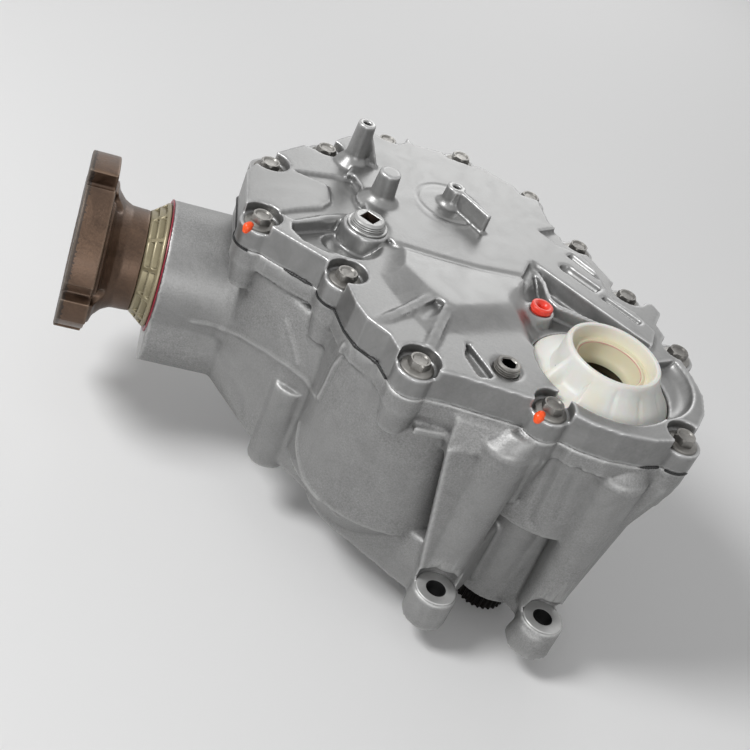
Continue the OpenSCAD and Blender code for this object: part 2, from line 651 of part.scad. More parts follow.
module flanged_bolt(reach) {
    difference() {
        union() {
            cylinder(r1 = bolt_flange_r, r2 = bolt_flange_r - 1.5, h = 1.8, $fn = 48);
            cylinder(r = bolt_af / sqrt(3), h = bolt_head_h, $fn = 6);
        }
        translate([0, 0, bolt_head_h - 0.6]) cylinder(r = bolt_af * 0.36, h = 2, $fn = 48);
    }
    translate([0, 0, -reach]) cylinder(r = bolt_r, h = reach + eps, $fn = 48);
}

module cover_bolts() color("gray") {
    for (p = bolts) translate([p.x, p.y, joint_z + seat_h]) flanged_bolt(seat_h + bolt_reach);
}

module dowel_pins() color("dimgray") {
    for (p = dowels) translate([p.x, p.y, joint_z - 7.5]) tube(4, 2.5, 15);
}

module fill_plug() color("silver") translate([fill_at.x, fill_at.y, joint_z + fill_h + 1.5]) difference() {
    union() {
        cylinder(r1 = fill_r + 1.8, r2 = fill_r + 1.4, h = 4.5);
        translate([0, 0, -15]) cylinder(r = fill_r, h = 16);
    }
    translate([-4.75, -4.75, -6]) cube([9.5, 9.5, 20]);
}

module fill_plug_washer() color("silver") translate([fill_at.x, fill_at.y, joint_z + fill_h])
    tube(fill_r + 3.5, fill_r + fit_gap, 1.5);

module drain_plug() color("gray") translate([drain_at.x, drain_at.y, joint_z + 8]) difference() {
    cylinder(r = drain_r, h = 17);
    translate([0, 0, 9]) cylinder(r = 4.6, h = 20, $fn = 6);
}

module vent_plug() color("tomato") translate([vent_at.x, vent_at.y, joint_z + vent_h]) difference() {
    union() {
        cylinder(r = 6.8, h = 3);
        translate([0, 0, -12]) cylinder(r = 5.5, h = 13);
    }
    translate([0, 0, -20]) cylinder(r = 2.6, h = 40);
}

module lip_seal(r_out, r_shaft, h) {
    difference() {
        cylinder(r = r_out, h = h);
        translate([0, 0, -1]) cylinder(r = r_shaft + 0.1, h = h + 2);
        translate([0, 0, h * 0.35]) tube(r_out - 2.5, r_shaft + 2, h);
    }
}

module input_seal() color("dimgray") translate([0, 0, neck_z + 8]) mirror([0, 0, 1])
    lip_seal(seal_r, input_r, 8);
module half_shaft_seal() color("crimson") translate([0, 0, joint_z + recess_h + 0.5]) lip_seal(26, 16.5, 7);
module output_seal() color("crimson") to_output(-snout_x + 8) lip_seal(38, 26, 8.6);

module input_cups() color("gray") {
    translate([0, 0, input_low_z]) cup(input_low_brg);
    translate([0, 0, input_top_z + input_top_brg[2]]) mirror([0, 0, 1]) cup(input_top_brg);
}

module idler_cups() color("gray") {
    at_idler(idler_low_z) cup(idler_brg);
    at_idler(idler_top_z + idler_brg[2]) mirror([0, 0, 1]) cup(idler_brg);
}

module ring_cups() color("gray") {
    at_ring(ring_low_z) cup(ring_brg);
    at_ring(ring_top_z + ring_brg[2]) mirror([0, 0, 1]) cup(ring_brg);
}

module pinion_cups() color("gray") {
    to_output(head_x) mirror([0, 0, 1]) translate([0, 0, -head_brg[2]]) cup(head_brg);
    to_output(tail_x + tail_brg[2]) cup(tail_brg);
}

module input_shaft() color("dimgray") {
    difference() {
        union() {
            translate([0, 0, -spline_drop]) linear_extrude(neck_z + spline_drop - 2 + eps)
                polygon([for (t = [0 : 27], k = [0 : 3])
                    let (a = (t + k * 0.25) * 360 / 28, r = k < 2 ? spline_r : spline_r - 1.4)
                    r * [cos(a), sin(a)]]);
            translate([0, 0, neck_z - 2]) cylinder(r = input_r, h = joint_z + 8 - neck_z + 2);
            // shoulder between the low bearing and the gear
            translate([0, 0, input_low_z + input_low_brg[2] + seat_gap])
                cylinder(r = input_r + 3, h = gear_low - input_low_z - input_low_brg[2] - 2 * seat_gap);
        }
        translate([0, 0, -20]) cylinder(r = hollow_r, h = 300);
    }
}

module input_gear() color("gray") translate([0, 0, gear_low]) rotate(idler_dir)
    spur_gear(z_input, input_r + 1, face_w, 4);

module input_cones() color("lightgray") {
    translate([0, 0, input_low_z]) cone_and_rollers(input_low_brg, 18);
    translate([0, 0, input_top_z + input_top_brg[2]]) mirror([0, 0, 1]) cone_and_rollers(input_top_brg, 16);
}

idler_phase = idler_dir + 180 + 180 / z_idler;
idler_rest = (ring_dir - idler_phase) - floor((ring_dir - idler_phase) * z_idler / 360) * 360 / z_idler;
driven_phase = ring_dir + 180 + idler_rest * z_idler / z_driven + 180 / z_driven;

module idler_shaft() color("dimgray") at_idler(0) {
    translate([0, 0, idler_low_z]) cylinder(r = idler_r, h = idler_top_z + idler_brg[2] - idler_low_z);
}

module idler_gear() color("gray") at_idler(gear_low) rotate(idler_phase)
    spur_gear(z_idler, idler_r + 1, face_w, 4);

module idler_cones() color("lightgray") {
    at_idler(idler_low_z) cone_and_rollers(idler_brg);
    at_idler(idler_top_z + idler_brg[2]) mirror([0, 0, 1]) cone_and_rollers(idler_brg);
}

// Shaft of the ring gear, with the flange that the ring gear is bolted to
module ring_shaft() color("dimgray") at_ring(0) difference() {
    union() {
        translate([0, 0, ring_low_z]) cylinder(r = ring_r, h = ring_top_z + ring_brg[2] - ring_low_z);
        translate([0, 0, ring_low_z + ring_brg[2]])
            cylinder(r = ring_r + 4, h = web_low - ring_low_z - ring_brg[2]);
        translate([0, 0, web_low - seat_gap - flange_h]) cylinder(r = 40, h = flange_h);
    }
    ring_bolt_places() translate([0, 0, web_low - 20]) cylinder(r = ring_bolt_r + 0.2, h = 30);
}

module ring_bolt_places() {
    for (i = [0 : ring_bolts - 1]) rotate(i * 360 / ring_bolts) translate([ring_bolt_pcd / 2, 0, 0])
        children();
}

module driven_gear() color("gray") at_ring(gear_low) rotate(driven_phase)
    spur_gear(z_driven, ring_r + 1, face_w, 4);

module ring_gear() color("gray") at_ring(0) difference() {
    translate([0, 0, pinion_z]) rotate(180) band([
        flat_ring(r_ring + 1, ring_back - pinion_z, z_ring * 8),
        bevel_ring(z_ring, m_bevel, cone_len, 0.7, 1.5, -0.3, 1),
        bevel_ring(z_ring, m_bevel, cone_len, 0.7, 1.5, -0.3, toe_scale),
        flat_ring(42, web_low - pinion_z, z_ring * 8),
        flat_ring(ring_r + 4.5, web_low - pinion_z, z_ring * 8),
        flat_ring(ring_r + 4.5, ring_back - pinion_z, z_ring * 8)]);
    ring_bolt_places() translate([0, 0, web_low - 1]) cylinder(r = ring_bolt_r + 0.2, h = 30, $fn = 12);
}

module ring_gear_bolts() color("gray") at_ring(web_low - seat_gap - flange_h) ring_bolt_places() {
    translate([0, 0, -5]) cylinder(r = 6.5, h = 5, $fn = 6);
    translate([0, 0, -eps]) cylinder(r = ring_bolt_r, h = flange_h + seat_gap + ring_web, $fn = 24);
}

module ring_cones() color("lightgray") {
    at_ring(ring_low_z) cone_and_rollers(ring_brg, 16);
    at_ring(ring_top_z + ring_brg[2]) mirror([0, 0, 1]) cone_and_rollers(ring_brg, 16);
}

// Stepped shaft of the pinion: stub for the gear, head and tail journals, spline and thread
module pinion_shaft() color("dimgray") {
    to_output(ring_at.x - r_ring * toe_scale) cylinder(r = 11.7, h = r_ring * (1 - toe_scale) + 3);
    to_output(ring_at.x - r_ring - 2) cylinder(r = head_brg[0], h = head_end + ring_at.x - r_ring - 2);
    to_output(-head_end) cylinder(r = pinion_r, h = output_x - nut_recess - head_end - 3);
    to_output(-(output_x - nut_recess) + 4) cylinder(r = 11, h = nut_recess - 4);
}

module pinion_spacer() color("gray") to_output(-head_end)
    tube(pinion_r + 4, pinion_r + fit_gap, -tail_x - tail_brg[2] - head_end);

module pinion_cones() color("lightgray") {
    to_output(head_x) mirror([0, 0, 1]) translate([0, 0, -head_brg[2]]) cone_and_rollers(head_brg, 16);
    to_output(tail_x + tail_brg[2]) cone_and_rollers(tail_brg, 14);
}

// Output flange: four ears, a cone, the hub and the seal journal
module output_flange() color("rosybrown") to_output(0) difference() {
    disc_x = output_x - disc_t;
    union() {
        translate([0, 0, disc_x]) linear_extrude(disc_t) {
            circle(r = web_r, $fn = 128);
            for (b = lobes) intersection() {
                circle(r = b[2], $fn = 128);
                polygon([[0, 0], 80 * [cos(b[0]), sin(b[0])], 80 * [cos(b[1]), sin(b[1])]]);
            }
        }
        turned([[0, snout_x - 10], [journal_r, snout_x - 10], [journal_r, hub_end], [hub_r, hub_end],
            [hub_r + 0.5, disc_x - 13], [hub_r + 3, disc_x - 8], [hub_r + 8, disc_x - 3.5],
            [hub_r + 13, disc_x - 2], [hub_r + 13, disc_x + 1], [0, disc_x + 1]]);
    }
    cylinder(r = pinion_r + fit_gap, h = output_x);
    translate([0, 0, output_x - nut_recess]) cylinder(r = 21, h = nut_recess + 1);
    translate([0, 0, output_x - 3]) cylinder(r = 30, h = 4);
    for (a = [0 : 90 : 270]) rotate(a + hole_turn) translate([output_pcd / 2, 0, snout_x + 14])
        cylinder(r = output_hole_r, h = 80);
}

module flange_washer() color("gray") to_output(-(output_x - nut_recess)) tube(19, 11.3, 3);

module flange_nut() color("gray") to_output(-(output_x - nut_recess + 3.1)) difference() {
    cylinder(r = 20, h = 14, $fn = 6);
    translate([0, 0, -1]) cylinder(r = 11 + fit_gap, h = 20);
}

// Slotted cone behind the flange's hub that keeps dirt off the seal
module dust_shield() color("tan") to_output(0) difference() {
    turned([[journal_r + fit_gap, hub_end - 0.2], [hub_r, hub_end - 0.2], [shield_r, snout_x + 2.5],
        [shield_r, snout_x + 1], [shield_r - 2.5, snout_x + 1], [hub_r - 1.5, hub_end - 2.4],
        [journal_r + fit_gap, hub_end - 2.4]]);
    for (i = [0 : 11]) rotate(i * 30) for (row = [0, 1]) {
        r = hub_r + 0.9 + row * 3.1;
        rotate_extrude(angle = 26) translate([r, hub_end - 16]) square([2.2, 20]);
    }
}

// White shipping plug in the half shaft recess
module bore_plug() color("white") translate([0, 0, joint_z]) {
    base = recess_h + seat_gap;
    r = recess_r - seat_gap;
    top = plug_top;
    turned([[r, base], [r, base + 2.7], [31, top - 4.3], [27.6, top], [25.4, top],
        [24.6, top - 4.2], [17.5, top - 12.2], [17.5, top - 14.2], [19.5, top - 14.2], [27, top - 6.2],
        [29.5, top - 5], [r - 2.1, base + 2.2], [r - 2.1, base]]);
}

module pinion_gear() color("gray") to_output(ring_at.x) rotate(180 / z_pinion) band([
    flat_ring(12, cone_len * cos(asin(r_pinion / cone_len)), z_pinion * 8),
    bevel_ring(z_pinion, m_bevel, cone_len, 1.3, 0.95, 0.3, 1),
    bevel_ring(z_pinion, m_bevel, cone_len, 1.3, 0.95, 0.3, toe_scale),
    flat_ring(12, toe_scale * cone_len * cos(asin(r_pinion / cone_len)), z_pinion * 8)]);

case();
cover();
joint_sealant();
cover_bolts();
dowel_pins();
fill_plug();
fill_plug_washer();
drain_plug();
vent_plug();
input_seal();
half_shaft_seal();
output_seal();
input_cups();
idler_cups();
ring_cups();
pinion_cups();
input_shaft();
input_gear();
input_cones();
idler_shaft();
idler_gear();
idler_cones();
ring_shaft();
driven_gear();
ring_gear();
ring_gear_bolts();
ring_cones();
pinion_shaft();
pinion_gear();
pinion_cones();
pinion_spacer();
output_flange();
flange_washer();
flange_nut();
dust_shield();
bore_plug();
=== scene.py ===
import math

import bmesh
import bpy
import numpy as np
from mathutils import Matrix, Vector
from mathutils.bvhtree import BVHTree

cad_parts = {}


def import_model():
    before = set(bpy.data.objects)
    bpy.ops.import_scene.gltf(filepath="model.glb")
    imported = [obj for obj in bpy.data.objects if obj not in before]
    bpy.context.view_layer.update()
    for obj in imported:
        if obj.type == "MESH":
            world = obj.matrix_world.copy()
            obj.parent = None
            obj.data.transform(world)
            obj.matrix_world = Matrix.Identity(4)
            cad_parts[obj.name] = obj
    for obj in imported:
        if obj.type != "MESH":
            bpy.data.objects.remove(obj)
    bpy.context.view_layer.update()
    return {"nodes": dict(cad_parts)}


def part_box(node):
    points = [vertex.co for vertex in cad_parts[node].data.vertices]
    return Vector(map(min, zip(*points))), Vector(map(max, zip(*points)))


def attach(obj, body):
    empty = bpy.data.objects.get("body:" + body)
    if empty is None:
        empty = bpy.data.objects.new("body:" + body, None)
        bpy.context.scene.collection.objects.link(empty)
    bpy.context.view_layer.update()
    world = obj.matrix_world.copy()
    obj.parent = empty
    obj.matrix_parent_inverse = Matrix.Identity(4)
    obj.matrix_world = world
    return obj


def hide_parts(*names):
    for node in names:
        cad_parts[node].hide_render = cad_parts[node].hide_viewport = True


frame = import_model()
MM = 0.001
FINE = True

# Planes and places of the part that the pieces below refer to, in millimetres
JOINT_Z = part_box("cover")[0].z / MM
FLOOR_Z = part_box("input_shaft")[0].z / MM - 0.5
SNOUT_X = 246.0
PINION_AT = (117.86, 90.75)
BOLT_SEAT = 13.5
BOLTS = [(-201.4, 74.6), (-151.8, 37.9), (-114.4, -27.6), (-38.4, -38.9), (41.9, -39.7), (60.9, 43.3),
         (37.6, 91.8), (13, 137.6), (-13.4, 186.6), (-60.4, 216.1), (-114.9, 209.9), (-158.9, 175),
         (-196.6, 137.6)]
FILL_AT = (-139, 85, 25.5)
DRAIN_AT = (-64, -19, 8)
VENT_AT = (-32, 46.5, 22)
MAIN_FACE_Z = 176.5
FLANGE_BAND_X = -297.5
LUG_HOLE_R = 6.75
# How near the skin is to a plane that it's brought back to, and a face to the plane it was cut in
SHARP_REACH = 1.6
CUT_REACH = 0.7

# Most triangles of the cover, of the case before the cutter has faced its lugs, and of the output's pieces
COVER_FACES = 195000
CASE_FACES = 190000
FLANGE_FACES = 120000
SHIELD_FACES = 90000


# Shader helpers

def node(tree, kind, inputs=None, **settings):
    """A node of a shader tree with its settings, and its inputs as values or as other nodes' outputs."""
    made = tree.nodes.new("ShaderNode" + kind)
    for name, value in settings.items():
        setattr(made, name, value)
    for name, value in (inputs or {}).items():
        socket = made.inputs[name]
        if isinstance(value, bpy.types.NodeSocket):
            tree.links.new(value, socket)
        else:
            socket.default_value = value
    return made


def new_group(name, inputs, outputs):
    """An empty node group with named inputs and outputs, its input node and its output node."""
    tree = bpy.data.node_groups.new(name, "ShaderNodeTree")
    for label, kind, value in inputs:
        socket = tree.interface.new_socket(label, in_out="INPUT", socket_type="NodeSocket" + kind)
        socket.default_value = value
    for label, kind in outputs:
        tree.interface.new_socket(label, in_out="OUTPUT", socket_type="NodeSocket" + kind)
    return tree, tree.nodes.new("NodeGroupInput").outputs, tree.nodes.new("NodeGroupOutput").inputs


def mix_colour(tree, share, a, b):
    mixed = tree.nodes.new("ShaderNodeMix")
    mixed.data_type = "RGBA"
    for place, value in ((0, share), (6, a), (7, b)):
        if isinstance(value, bpy.types.NodeSocket):
            tree.links.new(value, mixed.inputs[place])
        else:
            mixed.inputs[place].default_value = value
    return mixed.outputs[2]


def maths(tree, operation, a, b, clamp=False):
    return node(tree, "Math", {0: a, 1: b}, operation=operation, use_clamp=clamp).outputs[0]


def span(tree, value, low, high, to_low=0.0, to_high=1.0):
    return node(tree, "MapRange", {"Value": value, "From Min": low, "From Max": high,
                                   "To Min": to_low, "To Max": to_high}).outputs[0]


def cast_skin_group():
    """Blasted cast metal: a fine grain, rougher in patches, scattered pits, and faint stains of the flow."""
    tree, given, result = new_group(
        "cast skin",
        [("Grain per metre", "Float", 900.0), ("Pits", "Float", 0.4), ("Stains", "Float", 0.5),
         ("Speckle", "Float", 0.5), ("Patches", "Float", 0.7)],
        [("Shade", "Float"), ("Rough", "Float"), ("Height", "Float")])
    place = node(tree, "TexCoord").outputs["Object"]
    grain = node(tree, "TexNoise", {"Vector": place, "Scale": given["Grain per metre"], "Detail": 4.0,
                                    "Roughness": 0.7}).outputs["Fac"]
    spacing = maths(tree, "MULTIPLY", given["Grain per metre"], 0.36)
    pits = node(tree, "TexVoronoi", {"Vector": place, "Scale": spacing,
                                     "Randomness": 1.0}).outputs["Distance"]
    large = node(tree, "TexNoise", {"Vector": place, "Scale": 21.0, "Detail": 2.0,
                                    "Roughness": 0.4}).outputs["Fac"]
    patch = span(tree, large, 0.42, 0.6)
    coarse = maths(tree, "SUBTRACT", 1.0, maths(tree, "MULTIPLY", given["Patches"],
                                                maths(tree, "SUBTRACT", 1.0, patch)))
    pit = maths(tree, "MULTIPLY", span(tree, pits, 0.0, 0.3, 1.0, 0.0), given["Pits"])
    bend = node(tree, "TexNoise", {"Vector": place, "Scale": 9.0, "Detail": 3.0}).outputs["Color"]
    flow = node(tree, "VectorMath", {0: place, 1: bend}, operation="ADD").outputs[0]
    stains = node(tree, "TexNoise", {"Vector": flow, "Scale": 16.0, "Detail": 7.0,
                                     "Roughness": 0.62}).outputs["Fac"]
    stain = maths(tree, "MULTIPLY", maths(tree, "SUBTRACT", stains, 0.5), given["Stains"])
    fleck = maths(tree, "MULTIPLY", maths(tree, "SUBTRACT", grain, 0.5), given["Speckle"])
    speckle = maths(tree, "MULTIPLY", fleck, coarse)
    shade = maths(tree, "ADD", maths(tree, "ADD", speckle, stain), 0.5)
    pitted = maths(tree, "SUBTRACT", grain, maths(tree, "MULTIPLY", pit, 0.6))
    rough_skin = maths(tree, "MULTIPLY", pitted, coarse)
    for label, value in (("Shade", shade), ("Rough", span(tree, stains, 0.3, 0.7)), ("Height", rough_skin)):
        tree.links.new(value, result[label])
    return tree


def edge_group():
    """Painted highlights along outer edges and painted shade in inner corners, from the mesh's own
    curvature.
    """
    tree, given, result = new_group(
        "edge highlight and corner shade",
        [("Width", "Float", 0.06), ("Ragged", "Float", 0.5)],
        [("Edge", "Float"), ("Corner", "Float")])
    bend = node(tree, "NewGeometry").outputs["Pointiness"]
    place = node(tree, "TexCoord").outputs["Object"]
    noise = node(tree, "TexNoise", {"Vector": place, "Scale": 260.0, "Detail": 3.0}).outputs["Fac"]
    ragged = maths(tree, "MULTIPLY", maths(tree, "SUBTRACT", noise, 0.5), given["Ragged"])
    wide = maths(tree, "ADD", given["Width"], 0.5)
    deep = maths(tree, "SUBTRACT", 0.5, given["Width"])
    # painted highlight on outer edges, made ragged by noise
    edge = span(tree, bend, 0.505, wide)
    # painted shade in inner corners
    corner = span(tree, bend, 0.495, deep)
    tree.links.new(maths(tree, "MULTIPLY", edge, maths(tree, "ADD", ragged, 0.9), True), result["Edge"])
    tree.links.new(maths(tree, "MULTIPLY", corner, 1.0, True), result["Corner"])
    return tree


GROUPS = {"cast skin": cast_skin_group(), "edge highlight and corner shade": edge_group()}


def group(tree, name, **values):
    made = tree.nodes.new("ShaderNodeGroup")
    made.node_tree = GROUPS[name]
    for label, value in values.items():
        made.inputs[label.replace("_", " ")].default_value = value
    return made.outputs


def srgb(r, g, b):
    """A colour as it is seen, 0 to 255, as the shader's linear one."""
    seen = [c / 255 for c in (r, g, b)]
    return tuple(((c + 0.055) / 1.055) ** 2.4 if c > 0.04 else c / 12.92 for c in seen) + (1.0,)


def surface(name, metallic=0.0, roughness=0.5, **sockets):
    """A material with a plain Principled shader, its tree and that shader."""
    made = bpy.data.materials.new(name)
    made.use_nodes = True
    shader = made.node_tree.nodes["Principled BSDF"]
    shader.inputs["Metallic"].default_value = metallic
    shader.inputs["Roughness"].default_value = roughness
    for label, value in sockets.items():
        shader.inputs[label.replace("_", " ")].default_value = value
    return made, made.node_tree, shader


def bump(tree, shader, height, strength, distance):
    made = node(tree, "Bump", {"Height": height, "Strength": strength, "Distance": distance})
    tree.links.new(made.outputs[0], shader.inputs["Normal"])


def cast_metal(name, dark, light, grain, pits, stains, speckle, patches, rough, metallic, edge, corner,
               highlight_colour, relief):
    """A casting's blasted skin between two colours, with painted highlights along outer edges and painted
    shade in inner corners.
    """
    made, tree, shader = surface(name, metallic)
    skin = group(tree, "cast skin", Grain_per_metre=grain, Pits=pits, Stains=stains, Speckle=speckle,
                 Patches=patches)
    painted_light = group(tree, "edge highlight and corner shade")
    base = mix_colour(tree, skin["Shade"], dark, light)
    # painted highlight: outer edges mixed towards a light colour
    bright = mix_colour(tree, maths(tree, "MULTIPLY", painted_light["Edge"], edge), base, srgb(*highlight_colour))
    # painted shade: inner corners mixed towards near-black
    shaded = mix_colour(tree, maths(tree, "MULTIPLY", painted_light["Corner"], corner), bright, srgb(38, 38, 39))
    tree.links.new(shaded, shader.inputs["Base Color"])
    tree.links.new(span(tree, skin["Rough"], 0.0, 1.0, rough[0], rough[1]), shader.inputs["Roughness"])
    bump(tree, shader, skin["Height"], 0.7, relief)
    return made


def plain_metal(name, dark, light, rough=(0.25, 0.4), metallic=0.9):
    """Turned or ground metal: a soft mottle and fine scratches."""
    made, tree, shader = surface(name, metallic)
    place = node(tree, "TexCoord").outputs["Object"]
    mottle = node(tree, "TexNoise", {"Vector": place, "Scale": 70.0, "Detail": 5.0}).outputs["Fac"]
    stretch = node(tree, "Mapping", {"Vector": place, "Scale": (1.0, 1.0, 12.0)}).outputs[0]
    scratch = node(tree, "TexNoise", {"Vector": stretch, "Scale": 500.0, "Detail": 2.0}).outputs["Fac"]
    tree.links.new(mix_colour(tree, span(tree, mottle, 0.3, 0.7), dark, light), shader.inputs["Base Color"])
    tree.links.new(span(tree, scratch, 0.3, 0.7, rough[0], rough[1]), shader.inputs["Roughness"])
    bump(tree, shader, scratch, 0.4, 0.00004)
    return made


def soft_plastic(name, dark, light, rough):
    """Moulded plastic or rubber: slightly uneven colour over a faint orange-peel surface."""
    made, tree, shader = surface(name, 0.0, rough)
    place = node(tree, "TexCoord").outputs["Object"]
    cloud = node(tree, "TexNoise", {"Vector": place, "Scale": 45.0, "Detail": 4.0}).outputs["Fac"]
    peel = node(tree, "TexNoise", {"Vector": place, "Scale": 700.0, "Detail": 2.0}).outputs["Fac"]
    tree.links.new(mix_colour(tree, span(tree, cloud, 0.3, 0.7), dark, light), shader.inputs["Base Color"])
    bump(tree, shader, peel, 0.35, 0.00006)
    return made


def milky_plastic(name, white, yellow):
    """Milky moulded polyethylene: cloudy white outside, yellower down inside its bore."""
    made, tree, shader = surface(name, 0.0, 0.42, Subsurface_Weight=0.3, Subsurface_Scale=0.003)
    place = node(tree, "TexCoord").outputs["Object"]
    flat = node(tree, "VectorMath", {0: place, 1: (1.0, 1.0, 0.0)}, operation="MULTIPLY").outputs[0]
    out_from_axis = node(tree, "VectorMath", {0: flat}, operation="LENGTH").outputs["Value"]
    inside = span(tree, out_from_axis, 0.0262, 0.0235)
    cloud = node(tree, "TexNoise", {"Vector": place, "Scale": 38.0, "Detail": 4.0}).outputs["Fac"]
    tint = maths(tree, "MAXIMUM", inside, span(tree, cloud, 0.5, 0.72, 0.0, 0.6))
    tree.links.new(mix_colour(tree, tint, white, yellow), shader.inputs["Base Color"])
    peel = node(tree, "TexNoise", {"Vector": place, "Scale": 420.0, "Detail": 3.0}).outputs["Fac"]
    bump(tree, shader, peel, 0.4, 0.0001)
    return made


# In the cast finishes, the three numbers after the metallic one set the strength of painted highlights on
# outer edges, the strength of painted shade in inner corners, and the highlights' colour.
MATERIALS = {
    "case": cast_metal("blasted case casting", srgb(90, 90, 90), srgb(172, 172, 171), 950.0, 0.5, 0.4, 1.1,
                       0.6, (0.38, 0.5), 0.6, 0.5, 0.6, (216, 216, 215), 0.0004),
    "cover": cast_metal("smooth cover casting", srgb(96, 96, 96), srgb(160, 160, 159), 620.0, 0.25, 0.6,
                        0.35, 0.7, (0.28, 0.42), 0.7, 0.5, 0.6, (232, 232, 232), 0.0001),
    "machined": plain_metal("machined aluminium", srgb(146, 146, 145), srgb(180, 180, 179), (0.28, 0.42),
                            0.75),
    "bolt": plain_metal("zinc flake steel", srgb(92, 90, 87), srgb(150, 148, 144), (0.3, 0.46), 0.8),
    # milled lug faces: brighter than the machined finish, partly for the milling and partly as painted light
    # that makes up for the shade under the columns
    "spot_face": plain_metal("milled spot face with painted light", srgb(176, 176, 175), srgb(206, 206, 205), (0.35, 0.5),
                             0.45),
    "dark_bore": plain_metal("shaded drilled bore", srgb(30, 30, 31), srgb(62, 62, 63), (0.4, 0.55), 0.6),
    "steel": plain_metal("ground steel", srgb(140, 140, 141), srgb(170, 170, 171)),
    "dark_steel": plain_metal("hardened steel", srgb(22, 21, 20), srgb(48, 46, 44), (0.3, 0.45)),
    # darker brown inside the fill plug's square socket
    "socket": plain_metal("dark brown socket", srgb(38, 31, 27), srgb(84, 68, 58), (0.4, 0.6), 0.6),
    "brown": cast_metal("rust-proofed iron", srgb(50, 38, 31), srgb(116, 93, 76), 700.0, 0.6, 1.2, 0.7, 0.6,
                        (0.3, 0.46), 0.65, 0.4, 0.6, (170, 148, 128), 0.0003),
    "brown_face": cast_metal("darkened flange face", srgb(40, 34, 31), srgb(80, 70, 63), 600.0, 0.9, 0.9,
                             0.9, 0.3, (0.4, 0.55), 0.6, 0.5, 0.4, (150, 138, 126), 0.0004),
    "shield": cast_metal("khaki plated sheet", srgb(112, 103, 80), srgb(162, 153, 124), 500.0, 0.2, 0.7, 0.3,
                         0.5, (0.32, 0.48), 0.45, 0.5, 0.6, (214, 206, 178), 0.00005),
    "seal_bore": soft_plastic("shaded seal", srgb(52, 46, 34), srgb(84, 76, 58), 0.45),
    "red_seal": soft_plastic("red rubber", srgb(120, 14, 36), srgb(160, 24, 52), 0.35),
    "rub_mark": soft_plastic("pink rub mark", srgb(196, 120, 120), srgb(220, 176, 166), 0.45),
    "red_vent": soft_plastic("red vent plastic", srgb(222, 46, 34), srgb(240, 72, 52), 0.3),
    "paint": soft_plastic("orange marking paint", srgb(245, 72, 14), srgb(255, 98, 30), 0.3),
    "plug": milky_plastic("milky plastic", srgb(226, 226, 221), srgb(222, 214, 186)),
    "sealant": soft_plastic("black sealant", srgb(12, 12, 13), srgb(28, 28, 29), 0.35),
}

# The finish of each CAD node that shows as it is
FINISH = {
    "case": "case", "cover": "cover", "joint_sealant": "sealant", "cover_bolts": "bolt",
    "fill_plug": "machined", "fill_plug_washer": "machined", "drain_plug": "bolt", "vent_plug": "red_vent",
    "output_flange": "brown", "dust_shield": "shield", "bore_plug": "plug", "half_shaft_seal": "seal_bore",
    "output_seal": "red_seal", "input_seal": "sealant", "input_shaft": "dark_steel",
    "pinion_shaft": "dark_steel", "idler_shaft": "dark_steel", "ring_shaft": "dark_steel",
}
for name, cad in frame["nodes"].items():
    cad.data.materials.clear()
    cad.data.materials.append(MATERIALS[FINISH.get(name, "steel")])


# Mesh helpers

def link(name, mesh, body, materials, stands_for=()):
    """An object of a finished mesh that rides on a body of the part."""
    made = bpy.data.objects.new(name, mesh)
    bpy.context.scene.collection.objects.link(made)
    which = np.zeros(len(mesh.polygons), np.int32)
    mesh.polygons.foreach_get("material_index", which)
    mesh.materials.clear()
    for material in materials:
        mesh.materials.append(MATERIALS[material])
    mesh.polygons.foreach_set("material_index", np.minimum(which, len(materials) - 1))
    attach(made, body)
    if stands_for:
        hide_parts(*stands_for)
    return made


def apply_modifiers(made):
    graph = bpy.context.evaluated_depsgraph_get()
    done = bpy.data.meshes.new_from_object(made.evaluated_get(graph))
    made.modifiers.clear()
    old = made.data
    made.data = done
    bpy.data.meshes.remove(old)


def remeshed(made, voxel, passes):
    """One skin over all that the mesh holds, with its corners rounded by a few passes of smoothing."""
    remesh = made.modifiers.new("skin", "REMESH")
    remesh.mode = "VOXEL"
    remesh.voxel_size = voxel * MM
    smooth = made.modifiers.new("round", "SMOOTH")
    smooth.factor, smooth.iterations = 0.5, passes
    apply_modifiers(made)


def thinned(made, most):
    count = sum(len(p.vertices) - 2 for p in made.data.polygons)
    if count > most:
        made.modifiers.new("thin", "DECIMATE").ratio = most / count
        apply_modifiers(made)


def read(collection, label):
    values = np.empty(len(collection) * 3)
    collection.foreach_get(label, values)
    return values.reshape(-1, 3)


def worked(mesh, lines):
    """Raises or sinks the skin along lines, each as its points, its reach and its height in millimetres."""
    places, normals = read(mesh.vertices, "co"), read(mesh.vertices, "normal")
    for points, reach, height in lines:
        near = np.full(len(places), 1.0)
        for a, b in zip(np.array(points[:-1]) * MM, np.array(points[1:]) * MM):
            along = np.clip((places - a) @ (b - a) / ((b - a) @ (b - a)), 0, 1)
            near = np.minimum(near, np.linalg.norm(places - a - along[:, None] * (b - a), axis=1))
        share = np.clip(1 - near / (reach * MM), 0, 1)
        places = places + normals * (share * share * (3 - 2 * share) * height * MM)[:, None]
    mesh.vertices.foreach_set("co", places.ravel())
    mesh.update()


def eased(made, spots, passes):
    """Smooths the skin further in round places, each as x, y, z, radius and the width of its fade."""
    places = read(made.data.vertices, "co") / MM
    share = np.zeros(len(places))
    for x, y, z, r, fade in spots:
        out = np.linalg.norm(places - (x, y, z), axis=1)
        share = np.maximum(share, np.clip((r + fade - out) / fade, 0, 1))
    soft = made.vertex_groups.new(name="soft")
    for i in np.nonzero(share > 0.01)[0]:
        soft.add([int(i)], float(share[i]), "REPLACE")
    smooth = made.modifiers.new("ease", "SMOOTH")
    smooth.factor, smooth.iterations, smooth.vertex_group = 0.5, passes, "soft"
    apply_modifiers(made)
    made.vertex_groups.clear()


